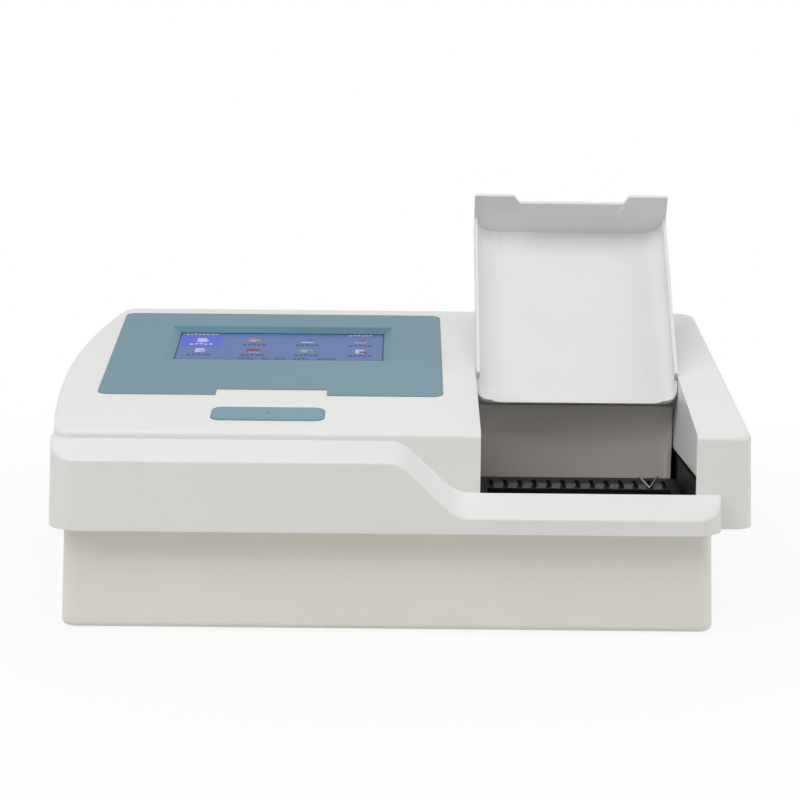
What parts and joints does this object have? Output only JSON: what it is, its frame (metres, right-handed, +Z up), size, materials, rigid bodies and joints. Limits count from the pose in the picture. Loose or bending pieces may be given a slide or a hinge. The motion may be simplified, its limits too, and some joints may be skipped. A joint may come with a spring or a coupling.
{
  "type": "microplate reader",
  "caption": "Low bench reader in a wide moulded housing with a tinted display panel and one key at the left, and a plate well with a sliding carrier under a hinged lid at the right.",
  "frame": {"origin": "on the bench, under the middle of the whole box", "axes": "+X to the operator's right, +Y to the back, +Z up"},
  "size_m": [0.4777, 0.363, 0.2591],
  "materials": {
    "cover_white": "fine textured moulded plastic",
    "base_cream": "fine textured moulded plastic",
    "lid_white": "moulded plastic",
    "panel_teal": "satin printed film",
    "key_teal": "satin moulded plastic",
    "lining_grey": "moulded plastic",
    "black_plastic": "satin moulded plastic",
    "rubber": "matt",
    "steel": "zinc plated",
    "ground_steel": "ground",
    "aluminium": "machined",
    "bronze": "sintered",
    "belt_rubber": "ribbed",
    "board_green": "solder mask",
    "glass": "lit display glass",
    "clear_glass": "polished",
    "filter_glass": "coated",
    "motor_black": "painted",
    "fibre_jacket": "smooth jacket"
  },
  "bodies": {
    "housing": {"lower_housing": "base_cream", "top_cover": "cover_white", "feet": "rubber", "chassis_plate": "steel", "well_back_panel": "lining_grey", "well_tray": "black_plastic", "tray_posts": "steel", "guide_rods": "ground_steel", "rod_supports_left": "aluminium", "rod_supports_right": "aluminium", "drive_belt": "belt_rubber", "drive_motor": "motor_black", "motor_bracket": "steel", "idler_bracket": "steel", "optics_bridge": "aluminium", "lens_block": "black_plastic", "detector_stand": "aluminium", "detector_board": "board_green", "filter_motor": "motor_black", "filter_motor_bracket": "steel", "light_guide": "fibre_jacket", "fibre_manifold": "aluminium", "lamp_housing": "aluminium", "condenser_lens": "clear_glass", "lamp": "clear_glass", "lamp_stand": "steel", "main_board": "board_green", "power_supply": "steel", "power_inlet": "black_plastic", "switch_frame": "black_plastic", "data_ports": "steel", "fan_frame": "black_plastic", "display_panel": "panel_teal", "display_glass": "glass", "lcd_module": "steel", "key_board": "board_green"},
    "lid": {"lid": "lid_white", "hinge_pins": "ground_steel"},
    "carrier": {"carrier_tray": "black_plastic", "carrier_bushes": "bronze", "plate_spring": "ground_steel", "belt_clamp": "aluminium"},
    "drive_pulley": {"drive_pulley": "aluminium", "motor_shaft": "ground_steel"},
    "idler": {"idler_pulley": "aluminium"},
    "filter_wheel": {"filter_wheel": "aluminium", "filters": "filter_glass"},
    "fan_rotor": {"fan_rotor": "black_plastic"},
    "menu_key": {"menu_key": "key_teal"},
    "power_rocker": {"power_rocker": "black_plastic"}
  },
  "joints": [
    {"name": "lid_hinge", "type": "hinge", "parent": "housing", "child": "lid", "pos_m": [0.128, -0.0049, 0.14095], "axis": [1, 0, 0], "range_deg": [0, 148.5]},
    {"name": "carrier_slide", "type": "slide", "parent": "housing", "child": "carrier", "axis": [-1, 0, 0], "range_m": [0, 0.16]},
    {"name": "drive_pulley_spin", "type": "hinge", "parent": "housing", "child": "drive_pulley", "pos_m": [-0.166, -0.0505, 0.0495], "axis": [0, 1, 0], "range_deg": [-1200, 12]},
    {"name": "idler_spin", "type": "hinge", "parent": "housing", "child": "idler", "pos_m": [0.188, -0.0505, 0.0495], "axis": [0, 1, 0], "range_deg": [-1200, 12]},
    {"name": "filter_wheel_spin", "type": "hinge", "parent": "housing", "child": "filter_wheel", "pos_m": [0.03, 0.036, 0.092], "axis": [0, 1, 0], "continuous": true},
    {"name": "fan_spin", "type": "hinge", "parent": "housing", "child": "fan_rotor", "pos_m": [0.12, 0.155, 0.04], "axis": [0, 1, 0], "continuous": true},
    {"name": "key_press", "type": "slide", "parent": "housing", "child": "menu_key", "axis": [0, 0.0628, -0.998], "range_m": [0, 0.0012], "stiffness_N_per_m": 900, "springref_m": -0.0006},
    {"name": "power_switch", "type": "hinge", "parent": "housing", "child": "power_rocker", "pos_m": [-0.145, 0.1655, 0.034], "axis": [0, 0, 1], "range_deg": [0, 10]}
  ],
  "couplings": [
    {"joint": "drive_pulley_spin", "follows": "carrier_slide", "rad_per_m": -127.39},
    {"joint": "idler_spin", "follows": "carrier_slide", "rad_per_m": -127.39}
  ]
}
